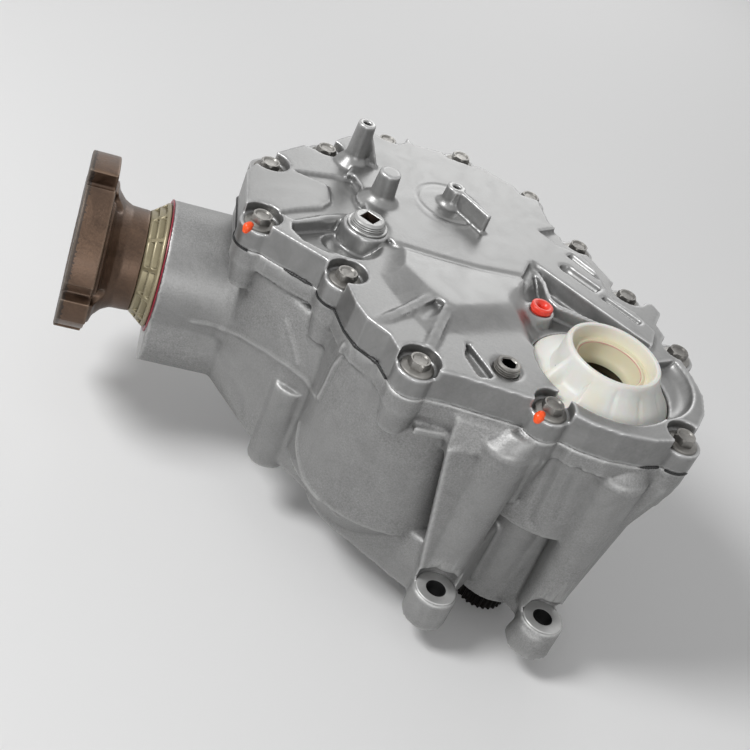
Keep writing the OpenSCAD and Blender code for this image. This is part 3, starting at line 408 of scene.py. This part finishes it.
def crisp(made, cad, near):
    """Brings some of the skin back to the casting's own faces, so that machined places keep sharp edges."""
    bm = bmesh.new()
    bm.from_mesh(cad.data)
    tree = BVHTree.FromBMesh(bm)
    bm.free()
    for i in np.nonzero(near(read(made.data.vertices, "co") / MM))[0]:
        vertex = made.data.vertices[int(i)]
        vertex.co = tree.find_nearest(vertex.co)[0]
    made.data.update()


def machine(mesh, spots, planes):
    """Gives the flat places that a cutter has faced the second material: spots as x, y, z and radius."""
    centres, normals = read(mesh.polygons, "center") / MM, read(mesh.polygons, "normal")
    flat = np.zeros(len(centres), bool)
    for x, y, z, r in spots:
        level = (np.abs(centres[:, 2] - z) < CUT_REACH) & (np.abs(normals[:, 2]) > 0.93)
        flat |= level & (np.hypot(centres[:, 0] - x, centres[:, 1] - y) < r)
    for axis, place in planes:
        flat |= (np.abs(centres[:, axis] - place) < CUT_REACH) & (np.abs(normals[:, axis]) > 0.95)
    mesh.polygons.foreach_set("material_index", flat.astype(np.int32))
    mesh.update()


def at(x, y, z, turn=0.0):
    return Matrix.Translation(Vector((x, y, z)) * MM) @ Matrix.Rotation(math.radians(turn), 4, "Z")


def ring(x, y, z, radius, ball):
    """Balls round a circle that reach its radius, for a swelling."""
    turns = [math.tau * k / 24 for k in range(24)]
    return [(x + (radius - ball) * math.cos(a), y + (radius - ball) * math.sin(a), z, ball) for a in turns]


def swelling(balls):
    """A bmesh stretched over balls, each given as x, y, z and radius in millimetres."""
    bm = bmesh.new()
    for x, y, z, r in balls:
        bmesh.ops.create_icosphere(bm, subdivisions=2, radius=r * MM, matrix=at(x, y, z))
    hull = bmesh.ops.convex_hull(bm, input=bm.verts)
    spare = {v for v in hull["geom_interior"] + hull["geom_unused"] if isinstance(v, bmesh.types.BMVert)}
    bmesh.ops.delete(bm, geom=list(spare), context="VERTS")
    bmesh.ops.recalc_face_normals(bm, faces=bm.faces)
    return bm


def cut_away(made, balls):
    """Takes the space inside a swelling off a closed skin."""
    mesh = bpy.data.meshes.new("cutter")
    form = swelling(balls)
    form.to_mesh(mesh)
    form.free()
    cutter = bpy.data.objects.new("cutter", mesh)
    bpy.context.scene.collection.objects.link(cutter)
    cut = made.modifiers.new("cut", "BOOLEAN")
    cut.operation, cut.solver, cut.object = "DIFFERENCE", "EXACT", cutter
    apply_modifiers(made)
    bpy.data.objects.remove(cutter)
    bpy.data.meshes.remove(mesh)


def cast_copy(node_name, body, materials, voxel, passes, name, swellings=()):
    """A copy of a casting with corners rounded as a mould's are, and with some forms melted into it."""
    mesh = frame["nodes"][node_name].data.copy()
    mesh.name = name
    bm = bmesh.new()
    bm.from_mesh(mesh)
    bmesh.ops.remove_doubles(bm, verts=bm.verts, dist=1e-6)
    for balls in swellings:
        part = bpy.data.meshes.new("part")
        form = swelling(balls)
        form.to_mesh(part)
        form.free()
        bm.from_mesh(part)
        bpy.data.meshes.remove(part)
    bm.to_mesh(mesh)
    bm.free()
    made = link(name, mesh, body, materials, (node_name,))
    remeshed(made, voxel, passes)
    made.data.shade_smooth()
    return made


def turned(profile, steps=48, closed=False):
    """A bmesh turned about Z from points of radius and height in millimetres.

    A third number makes that ring a polygon of so many sides, with the radius to the middle of a side.
    """
    bm = bmesh.new()
    sides = bm.verts.layers.int.new("sides")
    verts = [bm.verts.new((p[0] * MM, 0.0, p[1] * MM)) for p in profile]
    for vert, point in zip(verts, profile):
        vert[sides] = point[2] if len(point) > 2 else 0
    edges = [bm.edges.new(pair) for pair in zip(verts, verts[1:] + verts[:1] if closed else verts[1:])]
    bmesh.ops.spin(bm, geom=verts + edges, cent=(0, 0, 0), axis=(0, 0, 1), angle=math.tau, steps=steps,
                   use_merge=True)
    bmesh.ops.remove_doubles(bm, verts=bm.verts, dist=1e-7)
    for vert in bm.verts:
        if vert[sides]:
            sector = math.tau / vert[sides]
            turn = math.atan2(vert.co.y, vert.co.x) % sector - sector / 2
            vert.co.xy = vert.co.xy / math.cos(turn)
    bmesh.ops.recalc_face_normals(bm, faces=bm.faces)
    return bm


def inside_bore(radius, low, high):
    """Tells the faces of a bore from the rest of a turned piece, for its second material."""
    return lambda c: math.hypot(c.x, c.y) < radius and low < c.z < high


def to_output(out):
    """From the Z axis to the pinion's axis, which runs towards -X, with its start at a distance along it."""
    place = Matrix.Translation(Vector((-out, PINION_AT[0], PINION_AT[1])) * MM)
    return place @ Matrix.Rotation(math.radians(-90), 4, "Y")


def piece(shapes, name, body, materials, stands_for=(), sharp=32.0, inner=None):
    """One piece from bmesh shapes and their places; inner says which faces take the second material."""
    whole = bmesh.new()
    for bm, matrix in shapes:
        if inner:
            for face in bm.faces:
                face.material_index = int(inner(face.calc_center_median() / MM))
        part = bpy.data.meshes.new("part")
        bm.to_mesh(part)
        part.transform(matrix)
        whole.from_mesh(part)
        bpy.data.meshes.remove(part)
    mesh = bpy.data.meshes.new(name)
    whole.to_mesh(mesh)
    whole.free()
    mesh.shade_smooth()
    mesh.set_sharp_from_angle(angle=math.radians(sharp))
    return link(name, mesh, body, materials, stands_for)


def squeezed(runs, name, material, voxel):
    """Beads of sealant or dabs of paint: runs of x, y, z and radius, melted into one uneven skin."""
    bm = bmesh.new()
    step = 0
    for run in runs:
        for a, b in zip(run, run[1:]):
            count = max(int(math.dist(a[:3], b[:3]) / 0.45), 1)
            for k in range(count):
                step += 1
                share = k / count
                x, y, z, r = (p + (q - p) * share for p, q in zip(a, b))
                uneven = 1 + 0.22 * math.sin(step * 1.7) + 0.14 * math.sin(step * 4.3)
                bmesh.ops.create_icosphere(bm, subdivisions=2, radius=r * uneven * MM, matrix=at(x, y, z))
    mesh = bpy.data.meshes.new(name)
    bm.to_mesh(mesh)
    bm.free()
    made = link(name, mesh, "housing", (material,))
    remeshed(made, voxel, 3)
    made.data.shade_smooth()
    return made


# The two halves of the housing

# Lines along the case, each as its points, its reach and its height
CASE_LINES = [
    # flash of the mould's parting below the cover, from the snout to the front
    ([(-221, 76.3, 84.8), (-211.7, 76.2, 85.7), (-200.8, 74.7, 85.2), (-192.6, 66.1, 90.5),
      (-178.3, 50.4, 95.6), (-165.1, 38.2, 97.7), (-153.8, 31.2, 95.9), (-149.2, 28, 93.1),
      (-147.5, 16.8, 96.4)], 2.6, 0.9),
    ([(-173.1, 47.4, 121.9), (-168.3, 43.2, 116), (-164.1, 39.3, 109.8), (-160.3, 35.5, 103.2)], 3.0, 0.6),
    # ridge down from the joint
    ([(-146.9, 4.7, 145.8), (-145.7, 10.9, 125.3), (-146, 11.8, 108), (-146.4, 13, 99)], 3.0, 1.5),
    # crease round the idler's bulge
    ([(-148.7, 23.2, 68.9), (-147.7, 18, 59.4), (-145.6, 10.7, 54.2), (-139.4, -2.1, 47.3),
      (-131.1, -12.4, 45), (-115, -12.3, 34.1)], 3.2, 1.0),
    # flutes on the column and the barrel behind the front lugs
    ([(-35, -47.5, 147), (-32.5, -46, 128), (-28.3, -38.7, 101)], 4.5, -1.0),
    ([(-24.9, -46.9, 147), (-20.9, -43.2, 128), (-19.1, -44, 102.8), (-17.5, -44.9, 90)], 4.0, -1.0),
    ([(-12, -50.5, 140), (-9, -46, 118), (-6, -46, 98)], 4.0, -0.9),
]
# Columns that run up into the joint's flange below its bolts, and the ledge beside the third bolt
CASE_SWELLINGS = [
    [(-82, -41.5, 126, 1.5), (-70, -43.5, 130, 1.5), (-62, -44, 131, 1.5), (-82, -33, 120, 1.5),
     (-60, -33, 120, 1.5), (-84, -37, 146, 1.5), (-58, -40, 146, 1.5), (-60, -33, 146, 1.5),
     (-84, -33, 146, 1.5)],
    [(-106, -30, 138, 3), (-82, -33, 139, 3), (-104, -30, 132, 2), (-84, -31, 132, 2)],
    ring(-50.3, -37.5, 136.5, 17.2, 2) + ring(-45, -38, 147.5, 12.5, 2),
    ring(17.6, -41.7, 136.5, 17.2, 2) + ring(20, -40, 147.5, 12.5, 2),
    [(-38.4, -38.9, 138, 12.4), (-33, -35, 100, 6)],
    [(41.9, -39.7, 138, 11.5), (36, -38, 96, 5)],
]
# What a cutter takes off the feet of the front columns, above the faces of their lugs
LUG_CUTS = [
    ring(20.6, -49.7, 20.6, 13.5, 1) + ring(20.6, -49.7, 25.5, 13.5, 1) + ring(16.6, -63, 38, 12, 1),
    ring(-50.3, -45.5, 23.6, 13.5, 1) + ring(-50.3, -45.5, 29, 13.5, 1) + ring(-54.3, -59, 42, 12, 1),
]
# Faces of the lugs and of the two small bosses, each as x, y, z and radius
LUG_SPOTS = [(20.6, -49.7, 19.5, 13.2), (-50.3, -45.5, 22.5, 13.2), (50, 36, 21, 13.2), (-34, 62, 21, 13.2)]
BOSS_SPOTS = [(-143, 161.5, JOINT_Z + 51, 6.2), (-80.5, 137, JOINT_Z + 37.5, 6.2)]
# Crease along the dome's far edge, and the circle that a cutter has left round the small boss
ROUND = [math.tau * k / 32 for k in range(33)]
COVER_LINES = [
    ([(-121, 73, MAIN_FACE_Z), (-95, 70.6, MAIN_FACE_Z), (-69, 69.9, MAIN_FACE_Z), (-42, 73, MAIN_FACE_Z),
      (-30, 76, 176)], 4.5, -0.7),
    ([(22 * math.cos(a) - 80.5, 22 * math.sin(a) + 137, MAIN_FACE_Z) for a in ROUND], 1.8, -0.45),
]
# Places on the dome's foot that are smoothed further, as eased takes them
DOME = [(-80, 12, 175, 8, 6), (-68, 16, 175, 10, 7), (-57, 24, 175, 11, 7), (-43, 42, 174, 10, 7)]


def at_joint(co):
    """The faces where the two halves meet."""
    return np.abs(co[:, 2] - JOINT_Z) < SHARP_REACH


def at_case_faces(co):
    """The joint and the snout's face."""
    return at_joint(co) | (co[:, 0] < SHARP_REACH - SNOUT_X)


cover = cast_copy("cover", "housing", ("cover", "machined"), 1.1 if FINE else 1.6, 2,
                  "cast_cover")
worked(cover.data, COVER_LINES)
eased(cover, DOME, 80)
crisp(cover, frame["nodes"]["cover"], at_joint)
thinned(cover, COVER_FACES)
machine(cover.data, BOSS_SPOTS, [(2, JOINT_Z)])
case = cast_copy("case", "housing", ("case", "machined"), 1.35 if FINE else 2.0, 3, "cast_case",
                 CASE_SWELLINGS)
worked(case.data, CASE_LINES)
crisp(case, frame["nodes"]["case"], at_case_faces)
thinned(case, CASE_FACES)
for balls in LUG_CUTS:
    cut_away(case, balls)
case.data.shade_smooth()
machine(case.data, LUG_SPOTS, [(2, 0.0), (2, JOINT_Z), (0, -SNOUT_X)])

# Faces that a cutter has left on the lugs, with the sleeves of their bores
spots = []
for x, y, z, r in LUG_SPOTS:
    rim = [(LUG_HOLE_R - 0.35, 0.2), (LUG_HOLE_R + 0.2, 0.55), (r - 0.9, 0.55), (r - 0.5, 0.1),
           (r - 0.5, -1.2)]
    sleeve = [(LUG_HOLE_R + 0.6, -1.2), (LUG_HOLE_R + 0.6, 0.5 - z), (LUG_HOLE_R - 0.35, 0.5 - z)]
    spots.append((turned(rim + sleeve, 64, True), at(x, y, z)))
# the lug faces take a finish brightened partly by painted light
piece(spots, "lug_spot_faces", "housing", ("spot_face", "dark_bore"), (), 40,
      inside_bore(LUG_HOLE_R, -math.inf, 0.1))


# Bolts, plugs and seals

HEAD = [(0, 0), (9.5, 0), (9.5, 0.9), (9.1, 1.5), (7.0, 2.1), (5.7, 2.3, 6), (5.7, 5.4, 6), (5.65, 6.5),
        (4.7, 6.5), (3.8, 5.7), (0, 5.5)]
piece([(turned(HEAD), at(x, y, JOINT_Z + BOLT_SEAT, 17 + 41 * i)) for i, (x, y) in enumerate(BOLTS)],
      "flanged_bolts", "housing", ("bolt",), ("cover_bolts",), 28)

FILL = [(0, -6), (4.75, -6, 4), (4.75, 4.3, 4), (5.0, 4.6, 4), (8.3, 4.6), (9.4, 4.0), (9.9, 3.2),
        (9.2, 2.9), (10.2, 2.5), (10.4, 2.1), (9.5, 1.8), (10.6, 1.4), (10.8, 1.0), (9.8, 0.7),
        (10.8, 0.3), (10.8, 0.0), (9, 0.0), (9, -14), (0, -14)]
piece([(turned(FILL, 64), at(FILL_AT[0], FILL_AT[1], JOINT_Z + FILL_AT[2], 8))], "square_socket_plug",
      "housing", ("machined", "socket"), ("fill_plug",), 28,
      inside_bore(6.6, -10, 3.9))
WASHER = [(9.2, 0), (12.2, 0), (12.5, 0.3), (12.5, 1.1), (12.1, 1.5), (9.2, 1.5)]
piece([(turned(WASHER, 64, True), at(FILL_AT[0], FILL_AT[1], JOINT_Z + FILL_AT[2] - 1.5))], "sealing_washer",
      "housing", ("machined",), ("fill_plug_washer",))
DRAIN = [(0, 9), (3.98, 9, 6), (3.98, 16.3, 6), (4.9, 17), (6.4, 17), (7.1, 16.5), (7.2, 15.9),
         (6.6, 15.5), (7.4, 15.0), (7.4, 14.6), (6.6, 14.2), (7.4, 13.7), (7.4, 13.3), (6.6, 12.9),
         (7.4, 12.4), (7.4, 0), (0, 0)]
piece([(turned(DRAIN), at(DRAIN_AT[0], DRAIN_AT[1], JOINT_Z + DRAIN_AT[2], 11))], "hexagon_socket_plug",
      "housing", ("bolt", "dark_steel"), ("drain_plug",), 28,
      inside_bore(4.7, 8, 16.2))
VENT = [(2.4, -12), (2.4, 0.8), (3.4, 2.0), (4.2, 2.9), (4.7, 3.1), (6.2, 3.1), (6.7, 2.7), (6.8, 2.2),
        (6.8, 0), (5.5, 0), (5.5, -12)]
piece([(turned(VENT, closed=True), at(VENT_AT[0], VENT_AT[1], JOINT_Z + VENT_AT[2]))], "vent_ring",
      "housing", ("red_vent",), ("vent_plug",), 40)
LIP = [(39.5, 0), (42.2, 0), (42.4, 0.25), (42.2, 0.75), (40.6, 0.75)]
piece([(turned(LIP, 96, True), to_output(SNOUT_X))], "red_seal_rim", "housing", ("red_seal",))

# Drops of the white plug's skirt below its cone, as azimuth and depth: flat panels between gussets
PANELS = [(-180, 13), (-169, 13), (-167, 0), (-161, 0), (-153, 10), (-131, 9), (-126, 0.8), (-112, 0),
          (-99, 0.6), (-97, 2.2), (-95, 0.6), (-82, 0), (-69, 0.6), (-67, 2.2), (-65, 0.6), (-52, 0),
          (-39, 0.6), (-37, 2.2), (-35, 0.6), (-22, 0), (-9, 0.6), (-5, 5), (0, 9), (55, 9), (59, 0),
          (65, 0), (69, 11), (112, 12), (180, 13)]
PLUG = [(43.0, 9.8), (43.0, 12.3), (42.2, 13.6), (40, 16.1), (37.6, 18.9), (35.2, 21.8), (32.8, 24.8),
        (31.2, 27.2), (30.0, 29.6), (29.2, 32.0), (28.6, 33.9), (27.9, 34.5), (26.4, 34.5), (25.7, 34.0),
        (25.0, 31.5), (24.6, 29.2), (23.6, 27.5), (21.8, 27.0), (21.0, 27.6), (20.2, 27.7), (19.7, 27.2),
        (19.3, 25.5), (18.4, 22.0), (16.8, 18.8), (15.8, 17.4), (15.6, 14.5), (16.3, 14.5), (16.3, 17.2),
        (26.8, 17.6), (28.4, 9.8)]
# The skirt's inner radius and rim, the width over which its drops fade out towards the rim, and its heights
SKIRT_INNER = 29.4
SKIRT_RIM = 42.4
SKIRT_FADE = 11.2
SKIRT_LOW = 12.4
SKIRT_HIGH = 32.5
plug = turned(PLUG, 180, True)
for vert in plug.verts:
    out, height = vert.co.xy.length / MM, vert.co.z / MM
    if out > SKIRT_INNER and SKIRT_LOW < height < SKIRT_HIGH:
        bearing = math.degrees(math.atan2(vert.co.y, vert.co.x))
        drop = float(np.interp(bearing, [p[0] for p in PANELS], [p[1] for p in PANELS]))
        vert.co.z -= drop * min(max((SKIRT_RIM - out) / SKIRT_FADE, 0.0), 1.0) * MM
bmesh.ops.recalc_face_normals(plug, faces=plug.faces)
piece([(plug, at(0, 0, JOINT_Z))], "shipping_plug", "plug", ("plug",), ("bore_plug",), 34)

# Red rub mark of the seal round the plug's inner collar
BEAD = [(19.5, 26.7), (19.62, 27.1), (19.42, 27.05), (19.3, 26.65)]
piece([(turned(BEAD, 72, True), at(0, 0, JOINT_Z))], "rub_mark", "plug", ("rub_mark",))

# Sealant pushed out of the joint, as x, y and radius, and the paint that marks two tightened bolts
SEALANT = [
    [(-183.5, 54.5, 0.4), (-178, 51.2, 0.9), (-170, 46.6, 0.9), (-166, 44.2, 0.3)],
    [(-157.6, 29.0, 0.35), (-154.4, 26.2, 0.5), (-152.0, 20.3, 0.5), (-149.0, 8.6, 0.45),
     (-146.0, 2.6, 0.4), (-143.4, -2.6, 1.1), (-141.6, -4.4, 0.5), (-136.0, -9.2, 0.5),
     (-132.4, -12.4, 1.3), (-130.6, -14.6, 0.6), (-127.6, -22.3, 0.5), (-126.2, -27.0, 0.3)],
    [(19.9, -52.2, 0.4), (25.5, -50.6, 1.0), (31.5, -48.6, 0.8), (33, -48, 0.4)],
]
EDGE_Z = JOINT_Z + 0.3
squeezed([[(x, y, EDGE_Z, r) for x, y, r in run] for run in SEALANT],
         "squeezed_sealant", "sealant", 0.28)
squeezed([
    [(-209.4, 66.8, JOINT_Z + 11.6, 1.9), (-208.8, 67.5, JOINT_Z + 13.4, 2.4),
     (-207.4, 68.6, JOINT_Z + 14.6, 2.0)],
    [(-46.2, -45.6, JOINT_Z + 11.6, 2.0), (-45.4, -44.8, JOINT_Z + 13.4, 2.5),
     (-44.2, -43.4, JOINT_Z + 14.8, 1.9)],
], "paint_marks", "paint", 0.35)


# Output flange and its dirt shield

flange = cast_copy("output_flange", "pinion", ("brown", "brown_face"), 0.75 if FINE else 1.2,
                   5, "forged_flange")
thinned(flange, FLANGE_FACES)
front = read(flange.data.polygons, "center")[:, 0] / MM < FLANGE_BAND_X
flange.data.polygons.foreach_set("material_index", front.astype(np.int32))
shield = cast_copy("dust_shield", "pinion", ("shield",), 0.45 if FINE else 0.7, 2,
                   "slotted_shield")
thinned(shield, SHIELD_FACES)


# Floor, lamps, world and camera

def floor():
    bm = bmesh.new()
    bmesh.ops.create_grid(bm, x_segments=1, y_segments=1, size=6.0)
    bmesh.ops.translate(bm, verts=bm.verts, vec=(0, 0, FLOOR_Z * MM))
    mesh = bpy.data.meshes.new("floor")
    bm.to_mesh(mesh)
    bm.free()
    made = bpy.data.objects.new("floor", mesh)
    bpy.context.scene.collection.objects.link(made)
    material, _, shader = surface("pale floor", 0.0, 0.7)
    shader.inputs["Base Color"].default_value = srgb(236, 236, 236)
    mesh.materials.append(material)


def lamp(name, place, aim, size, watts):
    light = bpy.data.lights.new(name, "AREA")
    light.shape, light.size, light.energy = "DISK", size, watts
    made = bpy.data.objects.new(name, light)
    made.location = place
    made.rotation_euler = (Vector(aim) - Vector(place)).to_track_quat("-Z", "Y").to_euler()
    bpy.context.scene.collection.objects.link(made)


def world(strength):
    made = bpy.data.worlds.new("studio")
    made.use_nodes = True
    tree = made.node_tree
    tree.nodes.clear()
    path = node(tree, "LightPath").outputs
    seen = maths(tree, "MAXIMUM", path["Is Camera Ray"], maths(tree, "MAXIMUM", path["Is Glossy Ray"],
                                                              path["Is Transmission Ray"]))
    level = span(tree, seen, 0.0, 1.0, strength, 1.0)
    back = node(tree, "Background", {"Color": (1, 1, 1, 1), "Strength": level})
    out = tree.nodes.new("ShaderNodeOutputWorld")
    tree.links.new(back.outputs[0], out.inputs[0])
    bpy.context.scene.world = made


# Camera: the photograph's viewpoint, the point it looks at and its roll
CAMERA_AT = Vector((-309.4, -554.3, 550.5)) * MM
CAMERA_AIM = Vector((-121.5, 10.8, 125.8)) * MM
CAMERA_ROLL = math.radians(24.0)
CAMERA_LENS = 61.4


def camera():
    data = bpy.data.cameras.new("camera")
    data.lens, data.sensor_width = CAMERA_LENS, 36.0
    data.clip_start, data.clip_end = 0.01, 50.0
    made = bpy.data.objects.new("camera", data)
    made.location = CAMERA_AT
    turn = (CAMERA_AIM - CAMERA_AT).to_track_quat("-Z", "Y").to_matrix().to_4x4()
    made.rotation_euler = (turn @ Matrix.Rotation(CAMERA_ROLL, 4, "Z")).to_euler()
    bpy.context.scene.collection.objects.link(made)
    bpy.context.scene.camera = made


floor()
world(0.3)
centre = Vector((-120, 60, 100)) * MM
lamp("key", (-1.4, -0.1, 1.5), centre, 0.65, 24)
lamp("front", (-0.3, -1.9, 0.6), centre, 0.9, 8.5)
lamp("back", (0.4, 1.7, 0.9), centre, 0.9, 4.5)
camera()
bpy.context.scene.view_settings.view_transform = "Standard"
